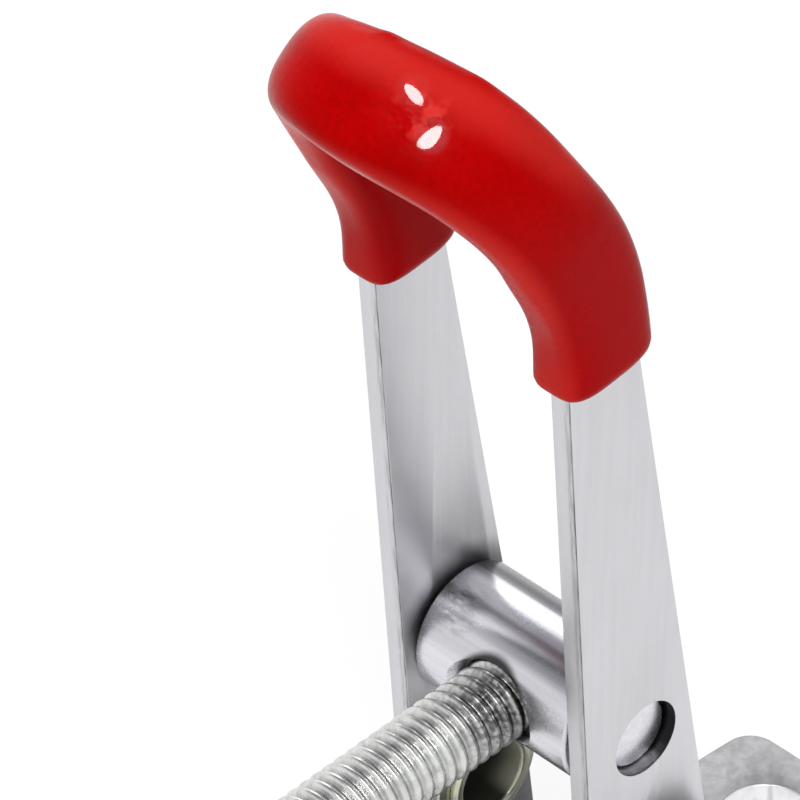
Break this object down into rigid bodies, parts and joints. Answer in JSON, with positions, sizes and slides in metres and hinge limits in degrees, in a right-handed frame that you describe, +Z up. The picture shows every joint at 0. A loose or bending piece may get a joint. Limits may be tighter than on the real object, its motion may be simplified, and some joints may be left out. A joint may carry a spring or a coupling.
{
  "type": "toggle clamp",
  "caption": "Latch toggle clamp: a hairpin strip handle with a dipped grip pulls a threaded hook bolt back by a swivelling tapped barrel, above an eared base.",
  "frame": {"origin": "on the mounting surface, straight under the handle's pivot", "axes": "+X toward the hook, +Y from the left leg to the right leg, +Z up from the mounting surface"},
  "size_m": [0.1227, 0.0362, 0.1163],
  "materials": {
    "base_plate": "zinc plated sheet, satin",
    "handle_strip": "zinc plated strip, satin",
    "red_vinyl": "dipped vinyl, soft gloss",
    "turned_steel": "turned and zinc plated, satin",
    "bolt_steel": "bright zinc plated",
    "rivet_steel": "zinc plated, satin",
    "washer_steel": "zinc plated, satin"
  },
  "bodies": {
    "base": {"base": "base_plate", "left_rivet": "rivet_steel", "right_rivet": "rivet_steel", "left_washer": "washer_steel", "right_washer": "washer_steel"},
    "handle": {"handle": "handle_strip", "grip": "red_vinyl"},
    "barrel": {"barrel": "turned_steel"},
    "hook": {"hook_bolt": "bolt_steel"}
  },
  "joints": [
    {"name": "handle_swing", "type": "hinge", "parent": "base", "child": "handle", "pos_m": [0, 0, 0.02], "axis": [0, -1, 0], "range_deg": [-35, 100]},
    {"name": "barrel_swivel", "type": "hinge", "parent": "handle", "child": "barrel", "pos_m": [0.00235, 0, 0.0391], "axis": [0, -1, 0], "range_deg": [-95, 35]},
    {"name": "hook_turn", "type": "hinge", "parent": "barrel", "child": "hook", "pos_m": [0.00235, -0.0007, 0.0391], "axis": [0.9963, 0, -0.0854], "range_deg": [-180, 180]}
  ],
  "couplings": [
    {"joint": "barrel_swivel", "follows": "handle_swing", "ratio": -0.918}
  ]
}
